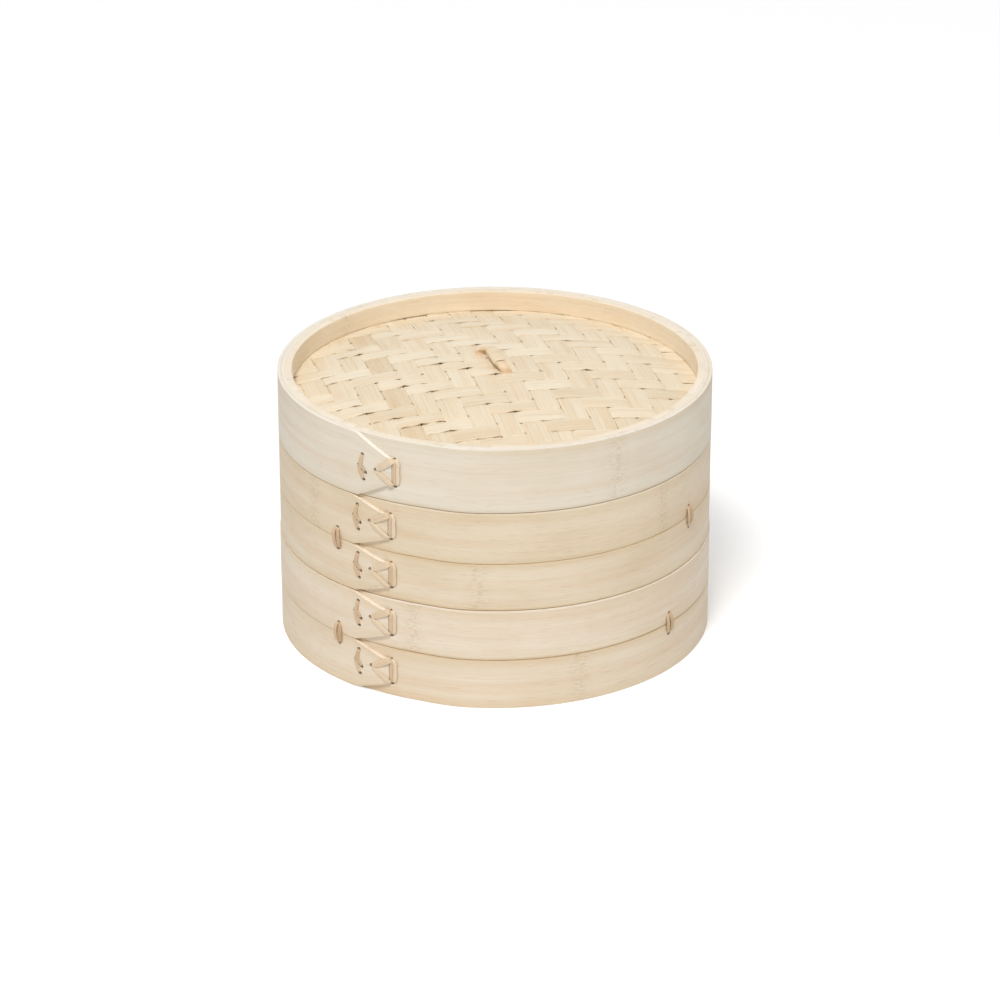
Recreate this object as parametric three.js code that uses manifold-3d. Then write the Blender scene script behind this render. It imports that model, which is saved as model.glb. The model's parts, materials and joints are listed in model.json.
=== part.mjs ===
// A bamboo steamer of two tiers and a lid, in millimetres, +Z up.
// It stands on Z = 0 with its axis on Z. Angles are degrees from the front (-Y) towards +X.
import * as THREE from 'three';
import { mergeVertices } from 'three/addons/utils/BufferGeometryUtils.js';
import Module from 'manifold-3d';

const wasm = await Module();
wasm.setup();

// Overall sizes
const OUTER_RADIUS = 127;
const FIT = 0.3; // clearance between neighbouring pieces
const SEGMENTS = 48; // sides of every ring
const SAME_STATION = 0.6; // degrees: two stations of a hoop nearer than this are one

// Hoop heights
const LOWER_TIER_LOWER_HOOP = 30.15;
const LOWER_TIER_UPPER_HOOP = 30.6;
const UPPER_TIER_LOWER_HOOP = 28.65;
const UPPER_TIER_UPPER_HOOP = 30.9;
const LID_HOOP = 38.6;

// Hoop strip: wound almost twice, its outer end cut to a blunt point that lies on the turn below
const HOOP_STRIP = 2;
const TURN_GAP = 0.5;
const TIER_TIP_ANGLE = -28.5;
const LID_TIP_ANGLE = -26.5;
const TIP_LENGTH = 23;
const TIP_HEIGHT = 15;
const UNDERLAP = 14; // length right of the tip where the strip already lies on the inner turn
const DIVE_LENGTH = 33; // length over which the strip goes from the outer turn to the inner one
const INNER_END_GAP = 16; // from the strip's inner end to the start of the dive

// Liners inside the hoops
const LINER_WALL = 4;
const LIP_HEIGHT = 7; // how far a tier's liner stands up into the piece above
const FLOOR_DROP = 2; // top of the skirt liner below the top of the lower hoop

// Floor of each tier
const SLAT_COUNT = 11;
const SLAT_THICKNESS = 2.5;
const SLAT_GAP = 3.2;
const SLAT_EDGE_GAP = 6; // between the outermost slats and the liner, on the X axis
const SLAT_END_STEPS = 2; // facets of a slat's rounded end
const CROSSBAR_WIDTH = 10;
const CROSSBAR_HEIGHT = 5;
const CROSSBAR_OFFSET = 35; // from the axis to a crossbar's middle

// Lid panels
const TOP_WEAVE = 2;
const TOP_DOME = 12;
const LINING_WEAVE = 1.6;
const LINING_DOME = 8;
const UPPER_RING = 12; // height of the ring above the weave
const DOME_STEPS = 4;

// Lacing strips
const LACE_THICKNESS = 0.8;
const LACE_WIDTH = 2.6;
const END_RUN_WIDTH = 3.4; // of the upright run beside the tip
const LACE_LEG = 1.6; // side of the part that goes through a hole
const LACE_STEP = 5; // longest straight stretch of a lacing run

// Holes of the triangular end lacing: along the hoop from the tip, and up from mid height
const LACING_LEFT = { along: -12.5, up: 1.5 };
const LACING_HIGH = { along: 2.8, up: 8 };
const LACING_LOW = { along: 2.8, up: -7 };
const TIP_CLEAR = 0.5; // past the tip before the lacing goes down to the under turn

// Holes of the overlap stitch, measured alike
const STITCH_TOP = { along: -21, up: 9.5 };
const STITCH_RIGHT = { along: -19.2, up: -1 };
const STITCH_LEFT = { along: -23.7, up: 2.6 };
const STITCH_FOOT = { along: -20.4, up: -5.5 };
const LID_STITCH_DROP = 3; // the lid's stitch sits lower on its hoop

// Wall ties: flat staples across the seam between a tier's two hoops
const TIE_WIDTH = 5;
const TIE_REACH = 6.2; // from the seam to a leg
const TIE_TOE = 3; // turned-back end inside the liner
const LOWER_TIE_ANGLES = [-45, 52.5];
const UPPER_TIE_ANGLES = [-45, 62];
const HALF_TURN = 180;

// Handle: a strip bent to a low arch, its legs loose in slots of both woven panels
const HANDLE_X = 0.6;
const HANDLE_Y = 4.4;
const HANDLE_TURN = 121; // direction of the bar from +X
const HANDLE_STRIP = 1.5;
const HANDLE_WIDTH = 4.6;
const BAR_LENGTH = 24;
const LEG_REACH = 5; // along the bar, from a leg to the bar's end
const BAR_RISE = 4.6; // middle of the bar above the weave
const SHOULDER = 0.8; // start of the slope above the weave
const HANDLE_TRAVEL = 10; // how far the handle draws up
const HANDLE_TOE = 7;

// Binding strip wound round the handle's bar
const BINDING_TURNS = 4.5;
const BINDING_GAP = 0.6; // between turns
const BINDING_THICKNESS = 0.7;
const BINDING_INSET = 0.8; // bare bar at each end
const BINDING_TAIL = 2; // straight end
const BINDING_STEPS = 24; // steps in a turn
const BINDING_CROWN = 0.4; // share of the thickness taken off the strip's outer edges
const BINDING_FLAT = 0.5; // share of the width that stays flat on top

// Derived radii and heights
const HOOP_INNER = OUTER_RADIUS - 2 * HOOP_STRIP - TURN_GAP;
const LINER_OUTER = HOOP_INNER - FIT;
const LINER_INNER = LINER_OUTER - LINER_WALL;
const FLAT_OF_SIDE = Math.cos(Math.PI / SEGMENTS); // middle of a ring's side over its corner
const FLOOR_RADIUS = LINER_OUTER * FLAT_OF_SIDE - FIT;
const LACE_OVER = OUTER_RADIUS + FIT; // inner face of a lacing run on the outer turn
const LACE_UNDER = LACE_OVER - HOOP_STRIP - TURN_GAP; // and on the turn below it
const SKIRT_BOTTOM = LIP_HEIGHT + FIT;
const WOVEN_EDGES = TOP_WEAVE + LINING_WEAVE + FIT;
const LINING_EDGE = LID_HOOP - UPPER_RING - FIT - WOVEN_EDGES; // underside, above the lid's base
const TOP_EDGE = LINING_EDGE + LINING_WEAVE + FIT;
const STITCH_BEND = { along: STITCH_LEFT.along + LACE_WIDTH / 2, up: STITCH_LEFT.up };
const FOOT = BAR_LENGTH / 2 + LEG_REACH; // from the bar's middle to a leg
const HANDLE_OFFSET = Math.hypot(HANDLE_X, HANDLE_Y);
const HANDLE_BASE = TOP_EDGE + TOP_WEAVE + domeAt(HANDLE_OFFSET, TOP_DOME);
const CUT_PAST = 1; // how far a cutting tool reaches past the wall it cuts

const radians = THREE.MathUtils.degToRad;
const degrees = THREE.MathUtils.radToDeg;
const arc = (length) => degrees(length / OUTER_RADIUS);

function around(radius, angle, height) {
  const turn = radians(angle);
  return new THREE.Vector3(radius * Math.sin(turn), -radius * Math.cos(turn), height);
}

// Boolean work
function toSolid(geometry) {
  const bare = geometry.clone();
  bare.deleteAttribute('normal');
  bare.deleteAttribute('uv');
  const merged = mergeVertices(bare);
  return new wasm.Manifold(new wasm.Mesh({
    numProp: 3,
    vertProperties: new Float32Array(merged.attributes.position.array),
    triVerts: new Uint32Array(merged.index.array),
  }));
}

function toGeometry(solid) {
  const mesh = solid.getMesh();
  const geometry = new THREE.BufferGeometry();
  geometry.setAttribute('position', new THREE.BufferAttribute(mesh.vertProperties, 3));
  geometry.setIndex(new THREE.BufferAttribute(mesh.triVerts, 1));
  geometry.computeVertexNormals();
  return geometry;
}

function cut(geometry, tools) {
  return toGeometry(tools.reduce((solid, tool) => solid.subtract(toSolid(tool)), toSolid(geometry)));
}

function join(geometries) {
  const [first, ...rest] = geometries.map(toSolid);
  return toGeometry(rest.reduce((solid, other) => solid.add(other), first));
}

// A closed skin through a row of sections with the same number of points
function loft(sections) {
  const sides = sections[0].length;
  const last = sections.length - 1;
  const index = [];
  for (let row = 0; row < last; row += 1) {
    for (let side = 0; side < sides; side += 1) {
      const next = (side + 1) % sides;
      const a = row * sides + side;
      const b = row * sides + next;
      index.push(a, b, a + sides, b, b + sides, a + sides);
    }
  }
  for (let side = 1; side < sides - 1; side += 1) {
    index.push(0, side + 1, side);
    index.push(last * sides, last * sides + side, last * sides + side + 1);
  }
  const geometry = new THREE.BufferGeometry().setFromPoints(sections.flat());
  geometry.setIndex(index);
  geometry.computeVertexNormals();
  return geometry;
}

// Least distance between the points of sections that lie at least `apart` rows from each other
function leastGap(sections, apart) {
  let least = Infinity;
  for (let row = 0; row < sections.length; row += 1) {
    for (let other = row + apart; other < sections.length; other += 1) {
      for (const point of sections[row]) {
        for (const facing of sections[other]) least = Math.min(least, point.distanceTo(facing));
      }
    }
  }
  return least;
}

function turned(profile) {
  return new THREE.LatheGeometry(profile, SEGMENTS).rotateX(Math.PI / 2);
}

function ring(inner, outer, bottom, top) {
  return turned([
    new THREE.Vector2(inner, bottom),
    new THREE.Vector2(outer, bottom),
    new THREE.Vector2(outer, top),
    new THREE.Vector2(inner, top),
    new THREE.Vector2(inner, bottom),
  ]);
}

// A box that points away from the axis, from one radius to another
function radialBox(angle, height, inner, outer, wide, tall) {
  const box = new THREE.BoxGeometry(outer - inner, wide, tall);
  box.translate((inner + outer) / 2, 0, height);
  return box.rotateZ(radians(angle - 90));
}

// Hoops

// Sections of the wound strip, from its pointed outer end round to its inner end
function hoopSections(height, tipAngle) {
  const taper = arc(TIP_LENGTH);
  const diveEnd = 360 - arc(UNDERLAP);
  const diveStart = diveEnd - arc(DIVE_LENGTH);
  const end = diveStart + 360 - arc(INNER_END_GAP);
  const step = 360 / SEGMENTS;
  const marks = [0, taper, diveStart, diveEnd, end];
  const firstSide = THREE.MathUtils.euclideanModulo(tipAngle, step);
  for (let travel = firstSide; travel < end; travel += step) {
    if (marks.every((mark) => Math.abs(mark - travel) > SAME_STATION)) marks.push(travel);
  }
  marks.sort((a, b) => a - b);
  return marks.map((travel) => {
    const drop = THREE.MathUtils.smoothstep(travel, diveStart, diveEnd) * (HOOP_STRIP + TURN_GAP);
    const outer = OUTER_RADIUS - drop;
    const inner = outer - HOOP_STRIP;
    const half = THREE.MathUtils.lerp(TIP_HEIGHT, height, Math.min(travel / taper, 1)) / 2;
    const angle = tipAngle - travel;
    return [
      around(inner, angle, height / 2 - half),
      around(outer, angle, height / 2 - half),
      around(outer, angle, height / 2 + half),
      around(inner, angle, height / 2 + half),
    ];
  });
}

function lacingHole(spot, tipAngle, middle) {
  const side = LACE_LEG + 2 * FIT;
  const outer = OUTER_RADIUS + CUT_PAST;
  return radialBox(tipAngle + arc(spot.along), middle + spot.up, HOOP_INNER - CUT_PAST, outer, side, side);
}

function tieSlot(angle, height) {
  const tall = LACE_THICKNESS + 2 * FIT;
  const inner = LINER_INNER - CUT_PAST;
  return radialBox(angle, height, inner, OUTER_RADIUS + CUT_PAST, TIE_WIDTH + 2 * FIT, tall);
}

function stitchHoles(drop) {
  return [STITCH_TOP, STITCH_RIGHT, STITCH_LEFT, STITCH_FOOT].map((spot) => lowered(spot, drop));
}

function lowered(spot, drop) {
  return { along: spot.along, up: spot.up - drop };
}

function hoop(height, tipAngle, stitchDrop, slots) {
  const spots = [LACING_LEFT, LACING_HIGH, LACING_LOW, ...stitchHoles(stitchDrop)];
  const holes = spots.map((spot) => lacingHole(spot, tipAngle, height / 2));
  return cut(loft(hoopSections(height, tipAngle)), [...holes, ...slots]);
}

// Lacing strips

// A flat strip along points on the hoop, each with its own inner radius
function lacingRun(points, width, tipAngle, middle) {
  const stations = [points[0]];
  for (let i = 1; i < points.length; i += 1) {
    const [from, to] = [points[i - 1], points[i]];
    const length = Math.hypot(to.along - from.along, to.up - from.up);
    const steps = Math.ceil(length / LACE_STEP);
    for (let step = 1; step <= steps; step += 1) {
      stations.push({
        along: THREE.MathUtils.lerp(from.along, to.along, step / steps),
        up: THREE.MathUtils.lerp(from.up, to.up, step / steps),
        radius: THREE.MathUtils.lerp(from.radius, to.radius, step / steps),
      });
    }
  }
  const sections = stations.map((station, i) => {
    const before = stations[Math.max(i - 1, 0)];
    const after = stations[Math.min(i + 1, stations.length - 1)];
    const length = Math.hypot(after.along - before.along, after.up - before.up);
    const sideAlong = (-(after.up - before.up) / length) * (width / 2);
    const sideUp = ((after.along - before.along) / length) * (width / 2);
    const corner = (radius, sign) => around(
      radius,
      tipAngle + arc(station.along + sign * sideAlong),
      middle + station.up + sign * sideUp,
    );
    const outer = station.radius + LACE_THICKNESS;
    return [
      corner(station.radius, 1),
      corner(outer, 1),
      corner(outer, -1),
      corner(station.radius, -1),
    ];
  });
  return loft(sections);
}

function lacingLeg(spot, radius, tipAngle, middle) {
  const outer = radius + LACE_THICKNESS / 2;
  const angle = tipAngle + arc(spot.along);
  return radialBox(angle, middle + spot.up, HOOP_INNER + FIT, outer, LACE_LEG, LACE_LEG);
}

// From the left hole, over the tip and down to a hole in the under turn
function runOverTip(to) {
  const share = (TIP_CLEAR - LACING_LEFT.along) / (to.along - LACING_LEFT.along);
  const up = THREE.MathUtils.lerp(LACING_LEFT.up, to.up, share);
  return [
    { ...LACING_LEFT, radius: LACE_OVER },
    { along: TIP_CLEAR, up, radius: LACE_OVER },
    { ...to, radius: LACE_UNDER },
  ];
}

function endLacing(tipAngle, middle) {
  const upright = [LACING_HIGH, LACING_LOW].map((spot) => ({ ...spot, radius: LACE_UNDER }));
  return join([
    lacingRun(upright, END_RUN_WIDTH, tipAngle, middle),
    lacingRun(runOverTip(LACING_HIGH), LACE_WIDTH, tipAngle, middle),
    lacingRun(runOverTip(LACING_LOW), LACE_WIDTH, tipAngle, middle),
    lacingLeg(LACING_LEFT, LACE_OVER, tipAngle, middle),
    lacingLeg(LACING_HIGH, LACE_UNDER, tipAngle, middle),
    lacingLeg(LACING_LOW, LACE_UNDER, tipAngle, middle),
  ]);
}

function overlapStitch(tipAngle, middle, drop) {
  const onTop = (spot) => ({ ...lowered(spot, drop), radius: LACE_OVER });
  const long = [STITCH_TOP, STITCH_BEND, STITCH_RIGHT].map(onTop);
  const short = [STITCH_LEFT, STITCH_FOOT].map(onTop);
  return join([
    lacingRun(long, LACE_WIDTH, tipAngle, middle),
    lacingRun(short, LACE_WIDTH, tipAngle, middle),
    ...stitchHoles(drop).map((spot) => lacingLeg(spot, LACE_OVER, tipAngle, middle)),
  ]);
}

function wallTie(angle, seam) {
  const front = LACE_OVER + LACE_THICKNESS;
  const toeOuter = LINER_INNER * FLAT_OF_SIDE - FIT;
  const toeInner = toeOuter - LACE_THICKNESS;
  const face = radialBox(angle, seam, LACE_OVER, front, TIE_WIDTH, 2 * TIE_REACH + LACE_THICKNESS);
  const ends = [-1, 1].flatMap((sign) => {
    const leg = seam + sign * TIE_REACH;
    const toe = leg + (sign * (TIE_TOE - LACE_THICKNESS)) / 2;
    return [
      radialBox(angle, leg, toeInner, front, TIE_WIDTH, LACE_THICKNESS),
      radialBox(angle, toe, toeInner, toeOuter, TIE_WIDTH, TIE_TOE),
    ];
  });
  return join([face, ...ends]);
}

// Floor of a tier

// A plank between two offsets, its ends cut to the floor's circle
function plank(from, to, thickness) {
  const shape = new THREE.Shape();
  for (const end of [1, -1]) {
    for (let step = 0; step <= SLAT_END_STEPS; step += 1) {
      const share = step / SLAT_END_STEPS;
      const x = THREE.MathUtils.lerp(end > 0 ? to : from, end > 0 ? from : to, share);
      const y = end * Math.sqrt(FLOOR_RADIUS ** 2 - x ** 2);
      if (end > 0 && step === 0) shape.moveTo(x, y);
      else shape.lineTo(x, y);
    }
  }
  return new THREE.ExtrudeGeometry(shape, { depth: thickness, bevelEnabled: false });
}

function slats() {
  const reach = LINER_INNER - SLAT_EDGE_GAP;
  const width = (2 * reach - (SLAT_COUNT - 1) * SLAT_GAP) / SLAT_COUNT;
  return Array.from({ length: SLAT_COUNT }, (_, i) => {
    const from = -reach + i * (width + SLAT_GAP);
    return plank(from, from + width, SLAT_THICKNESS);
  });
}

function crossbar(side) {
  const middle = side * CROSSBAR_OFFSET;
  const bar = plank(middle - CROSSBAR_WIDTH / 2, middle + CROSSBAR_WIDTH / 2, CROSSBAR_HEIGHT);
  return bar.rotateZ(Math.PI / 2);
}

function crossbarNotch(side, top) {
  const depth = CROSSBAR_HEIGHT + FIT;
  const box = new THREE.BoxGeometry(2 * OUTER_RADIUS, CROSSBAR_WIDTH + 2 * FIT, depth + CUT_PAST);
  return box.translate(0, side * CROSSBAR_OFFSET, top - depth + (depth + CUT_PAST) / 2);
}

// Lid panels and handle

function domeAt(radius, rise) {
  return rise * (1 - Math.min(radius / LINER_INNER, 1) ** 2);
}

function wovenPanel(edge, thickness, rise) {
  const radii = Array.from({ length: DOME_STEPS + 1 }, (_, i) => (LINER_INNER * i) / DOME_STEPS);
  radii.push(LINER_OUTER);
  const under = radii.map((r) => new THREE.Vector2(r, edge + domeAt(r, rise)));
  const over = radii.map((r) => new THREE.Vector2(r, edge + thickness + domeAt(r, rise))).reverse();
  return turned([...under, ...over]);
}

// Places a handle piece on the lid: X along the bar, Z up from the weave
function onLid(geometry) {
  return geometry.rotateZ(radians(HANDLE_TURN)).translate(HANDLE_X, HANDLE_Y, HANDLE_BASE);
}

// The toes hang under the lining by as much as the handle draws up
function toeLevel() {
  const liningUnder = LINING_EDGE + domeAt(FOOT + HANDLE_TOE + HANDLE_OFFSET, LINING_DOME);
  return liningUnder - HANDLE_BASE - HANDLE_TRAVEL - FIT - HANDLE_STRIP / 2;
}

// Outline of a strip of even thickness that follows a bent line
function stripOutline(line, thickness) {
  const side = (sign) => line.map((point, i) => {
    const before = line[Math.max(i - 1, 0)];
    const after = line[Math.min(i + 1, line.length - 1)];
    const into = point.clone().sub(before).normalize();
    const away = after.clone().sub(point).normalize();
    if (i === 0) into.copy(away);
    if (i === line.length - 1) away.copy(into);
    const middle = into.clone().add(away).normalize();
    const reach = (sign * thickness) / 2 / middle.dot(into);
    return new THREE.Vector2(point.x - middle.y * reach, point.y + middle.x * reach);
  });
  return [...side(-1), ...side(1).reverse()];
}

function handleLoop() {
  const toe = toeLevel();
  const half = [
    new THREE.Vector2(-FOOT - HANDLE_TOE, toe),
    new THREE.Vector2(-FOOT, toe),
    new THREE.Vector2(-FOOT, SHOULDER),
    new THREE.Vector2(-BAR_LENGTH / 2, BAR_RISE),
  ];
  const mirrored = half.map((point) => new THREE.Vector2(-point.x, point.y)).reverse();
  const shape = new THREE.Shape(stripOutline([...half, ...mirrored], HANDLE_STRIP));
  const strip = new THREE.ExtrudeGeometry(shape, { depth: HANDLE_WIDTH, bevelEnabled: false });
  return onLid(strip.rotateX(Math.PI / 2).translate(0, HANDLE_WIDTH / 2, 0));
}

function handleSlots() {
  const tall = 2 * LID_HOOP;
  return [-FOOT, FOOT].map((x) => {
    const slot = new THREE.BoxGeometry(HANDLE_STRIP + 2 * FIT, HANDLE_WIDTH + 2 * FIT, tall);
    return onLid(slot.translate(x, 0, 0));
  });
}

// Sections of the binding strip: a helix on an oval that clears the bar's corners
function bindingSections() {
  const wide = (HANDLE_WIDTH / 2) * Math.SQRT2 + FIT + BINDING_THICKNESS / 2;
  const high = (HANDLE_STRIP / 2) * Math.SQRT2 + FIT + BINDING_THICKNESS / 2;
  const pitch = (BAR_LENGTH - 2 * BINDING_INSET + BINDING_GAP) / (BINDING_TURNS + 1);
  const halfWidth = (pitch - BINDING_GAP) / 2;
  const section = (turn, tail) => {
    const phase = 2 * Math.PI * turn;
    const along = pitch * (turn - BINDING_TURNS / 2);
    const normal = new THREE.Vector3(0, Math.cos(phase) / wide, Math.sin(phase) / high).normalize();
    const tangent = new THREE.Vector3(0, -normal.z, normal.y);
    const centre = new THREE.Vector3(along, wide * Math.cos(phase), BAR_RISE + high * Math.sin(phase));
    centre.addScaledVector(tangent, tail);
    const outer = BINDING_THICKNESS / 2;
    const edge = outer - BINDING_CROWN * BINDING_THICKNESS;
    const right = [[1, -outer], [1, edge], [BINDING_FLAT, outer]];
    const left = right.map(([side, out]) => [-side, out]).reverse();
    return [...right, ...left].map(([side, out]) => centre.clone()
      .addScaledVector(normal, out)
      .add(new THREE.Vector3(side * halfWidth, 0, 0)));
  };
  const count = BINDING_TURNS * BINDING_STEPS;
  const rows = Array.from({ length: count + 1 }, (_, i) => section(i / BINDING_STEPS, 0));
  return [section(0, -BINDING_TAIL), ...rows, section(BINDING_TURNS, BINDING_TAIL)];
}

// Finishes of the pieces
const PALE_BAMBOO = { color: '#e9dab8', roughness: 0.5, metalness: 0 };
const WARM_BAMBOO = { color: '#e2cb9f', roughness: 0.55, metalness: 0 };
const WOVEN_BAMBOO = { color: '#e6d6b0', roughness: 0.6, metalness: 0 };
const LACE_BAMBOO = { color: '#d6ba8a', roughness: 0.6, metalness: 0 };
const SLAT_BAMBOO = { color: '#dfc797', roughness: 0.6, metalness: 0 };

function piece(name, geometry, finish) {
  const mesh = new THREE.Mesh(geometry, new THREE.MeshStandardMaterial(finish));
  mesh.name = name;
  return mesh;
}

// A tier with its base on Z = 0 of its own group
function tier(name, lowerHoop, upperHoop, tieAngles) {
  const group = new THREE.Group();
  const add = (part, geometry, finish, lift = 0) => {
    const mesh = piece(`${name}_${part}`, geometry, finish);
    mesh.position.z = lift;
    group.add(mesh);
  };
  const upperBase = lowerHoop + FIT;
  const top = upperBase + upperHoop;
  const seam = lowerHoop + FIT / 2;
  const skirtTop = lowerHoop - FLOOR_DROP;
  const floor = skirtTop + FIT;
  const linerBottom = floor + SLAT_THICKNESS + FIT;
  const angles = [...tieAngles, ...tieAngles.map((angle) => angle + HALF_TURN)];
  const lowSlots = (base) => angles.map((angle) => tieSlot(angle, seam - TIE_REACH - base));
  const highSlots = (base) => angles.map((angle) => tieSlot(angle, seam + TIE_REACH - base));

  add('lower_hoop', hoop(lowerHoop, TIER_TIP_ANGLE, 0, lowSlots(0)), PALE_BAMBOO);
  add('upper_hoop', hoop(upperHoop, TIER_TIP_ANGLE, 0, highSlots(upperBase)), PALE_BAMBOO, upperBase);
  const skirt = ring(LINER_INNER, LINER_OUTER, SKIRT_BOTTOM, skirtTop);
  const notches = [-1, 1].map((side) => crossbarNotch(side, skirtTop));
  add('skirt_liner', cut(skirt, [...notches, ...lowSlots(0)]), WARM_BAMBOO);
  const liner = ring(LINER_INNER, LINER_OUTER, linerBottom, top + LIP_HEIGHT);
  add('liner', cut(liner, highSlots(0)), WARM_BAMBOO);

  const hoops = [['lower', 0, lowerHoop], ['upper', upperBase, upperHoop]];
  for (const [level, base, height] of hoops) {
    const middle = base + height / 2;
    add(`${level}_stitch`, overlapStitch(TIER_TIP_ANGLE, middle, 0), LACE_BAMBOO);
    add(`${level}_lacing`, endLacing(TIER_TIP_ANGLE, middle), LACE_BAMBOO);
  }
  angles.forEach((angle, i) => add(`tie_${i + 1}`, wallTie(angle, seam), LACE_BAMBOO));
  add('front_crossbar', crossbar(-1), SLAT_BAMBOO, skirtTop - CROSSBAR_HEIGHT);
  add('rear_crossbar', crossbar(1), SLAT_BAMBOO, skirtTop - CROSSBAR_HEIGHT);
  slats().forEach((slat, i) => {
    add(`slat_${String(i + 1).padStart(2, '0')}`, slat, SLAT_BAMBOO, floor);
  });
  return { group, height: top };
}

// The lid with the bottom of its hoop on Z = 0 of its own group
function lid() {
  const group = new THREE.Group();
  const middle = LID_HOOP / 2;
  const slots = handleSlots();
  const lowerRing = ring(LINER_INNER, LINER_OUTER, LIP_HEIGHT + FIT, LINING_EDGE - FIT);
  const upperRing = ring(LINER_INNER, LINER_OUTER, LID_HOOP - UPPER_RING, LID_HOOP);
  const woven = cut(wovenPanel(TOP_EDGE, TOP_WEAVE, TOP_DOME), slots);
  const lining = cut(wovenPanel(LINING_EDGE, LINING_WEAVE, LINING_DOME), slots);
  const stitch = overlapStitch(LID_TIP_ANGLE, middle, LID_STITCH_DROP);
  const binding = bindingSections();
  const windings = { lid_outer_hoop: hoopSections(LID_HOOP, LID_TIP_ANGLE), handle_binding: binding };
  const rowsApart = { lid_outer_hoop: SEGMENTS / 2, handle_binding: BINDING_STEPS / 2 };
  for (const [name, sections] of Object.entries(windings)) {
    console.log(`${name}: least gap to itself ${leastGap(sections, rowsApart[name]).toFixed(2)} mm`);
  }
  group.add(
    piece('lid_outer_hoop', hoop(LID_HOOP, LID_TIP_ANGLE, LID_STITCH_DROP, []), PALE_BAMBOO),
    piece('lid_upper_ring', upperRing, WARM_BAMBOO),
    piece('lid_lower_ring', lowerRing, WARM_BAMBOO),
    piece('lid_woven_top', woven, WOVEN_BAMBOO),
    piece('lid_lining_weave', lining, WOVEN_BAMBOO),
    piece('lid_stitch', stitch, LACE_BAMBOO),
    piece('lid_lacing', endLacing(LID_TIP_ANGLE, middle), LACE_BAMBOO),
    piece('handle_loop', handleLoop(), WARM_BAMBOO),
    piece('handle_binding', onLid(loft(binding)), PALE_BAMBOO),
  );
  return group;
}

const steamer = new THREE.Group();
const lower = tier('lower_tier', LOWER_TIER_LOWER_HOOP, LOWER_TIER_UPPER_HOOP, LOWER_TIE_ANGLES);
const upper = tier('upper_tier', UPPER_TIER_LOWER_HOOP, UPPER_TIER_UPPER_HOOP, UPPER_TIE_ANGLES);
const cover = lid();
upper.group.position.z = lower.height + FIT;
cover.position.z = upper.group.position.z + upper.height + FIT;
steamer.add(lower.group, upper.group, cover);

export default steamer;
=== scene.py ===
import json
import math
import random
from collections import namedtuple

import bmesh
import bpy
from mathutils import Matrix, Quaternion, Vector
from mathutils.geometry import interpolate_bezier


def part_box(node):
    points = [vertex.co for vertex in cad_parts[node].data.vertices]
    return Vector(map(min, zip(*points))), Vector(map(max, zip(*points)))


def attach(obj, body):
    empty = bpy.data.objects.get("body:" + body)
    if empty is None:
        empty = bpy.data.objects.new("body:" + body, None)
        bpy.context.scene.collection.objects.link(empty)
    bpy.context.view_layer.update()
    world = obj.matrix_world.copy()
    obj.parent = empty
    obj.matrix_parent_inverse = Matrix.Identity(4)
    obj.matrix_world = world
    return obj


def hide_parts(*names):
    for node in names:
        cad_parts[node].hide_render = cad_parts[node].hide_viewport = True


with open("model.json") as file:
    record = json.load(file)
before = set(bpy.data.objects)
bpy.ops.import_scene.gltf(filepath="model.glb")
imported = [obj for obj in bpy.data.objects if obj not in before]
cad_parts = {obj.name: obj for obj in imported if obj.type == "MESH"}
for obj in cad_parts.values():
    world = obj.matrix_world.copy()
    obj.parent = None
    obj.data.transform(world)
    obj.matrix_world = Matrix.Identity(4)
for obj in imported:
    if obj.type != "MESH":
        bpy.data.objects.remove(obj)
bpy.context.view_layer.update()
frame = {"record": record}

# A bamboo steamer of two tiers and a lid. Every piece is a split bamboo strip, bent to where it lies.
# Sizes are in metres. Angles are degrees from the front (-Y) towards +X, as in the solids, and turns are
# degrees from +X towards +Y. A tint goes from 0, pale, to 1, deep.
MM = 0.001

record = frame["record"]
BODY_OF = {node: body for body, nodes in record["behaviour"]["bodies"].items() for node in nodes}

# Sizes that the frame gives
OUTER_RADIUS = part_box("lid_outer_hoop")[1].x
LINER_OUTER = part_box("lid_upper_ring")[1].x
FLOOR_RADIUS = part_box("lower_tier_slat_06")[1].y

# Hoop strip: wound almost twice, its outer end cut to a blunt point that lies on the turn below
HOOP_STRIP = 2.1 * MM
TURN_GAP = 0.05 * MM
STEP_DOWN = HOOP_STRIP + TURN_GAP
TIP_LENGTH = 23 * MM
TIP_HEIGHT = 15 * MM
TIP_SKIVE = 0.55 * MM  # the point's upper slope is pared, so that its cut shows from the front
SKIVE_END = (0.9 * TIP_LENGTH, 1.15 * TIP_LENGTH)
TIP_THIN = 0.7 * MM  # and its end is pared thinner
TIP_THIN_LENGTH = 7 * MM
UNDERLAP = 14 * MM
DIVE_LENGTH = 33 * MM
INNER_TAPER = 15.5 * MM  # the inner end is pared thinner and fills the room under the dive
HOOP_STEPS = 148  # in one turn
SAME_STATION = 1.2 * MM  # an even step this near to a mark is left out
HOOP_ROWS = 6
HOOP_EDGE = 0.15 * MM  # rounding of a strip's edges
LID_EDGE = 0.2 * MM  # a little more on the lid's hoop
EDGE_ROW = 1.5 * MM  # a row of faces along each edge keeps the rounding's shade narrow
UNEVEN = 0.1 * MM  # how far a bent strip strays from a true circle
UNEVEN_WAVES = (3, 5, 9)  # in one turn
EDGE_WANDER = 0.04 * MM  # how far its planed edges stray from straight
WANDER_WAVES = (4, 7, 13)
EDGE_DARKENING = 0.23  # a strip is tinted darker along its edges, next to the seams
DARKENING_REACH = 8 * MM
CUT_AND_HIGHLIGHT_TINT = 0.15  # fresh bamboo is paler where a strip is cut; on the edges that face up this pale tint is also a painted highlight
TIGHT_SEAM = 0.05 * MM  # how far an edge reaches past its solid's where ties pull two hoops together
SLACK_SEAM = 0.05 * MM  # how far it stops short where they are slacker
OPEN_SEAM = 0.1 * MM  # and where one part stands on the next
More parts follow.
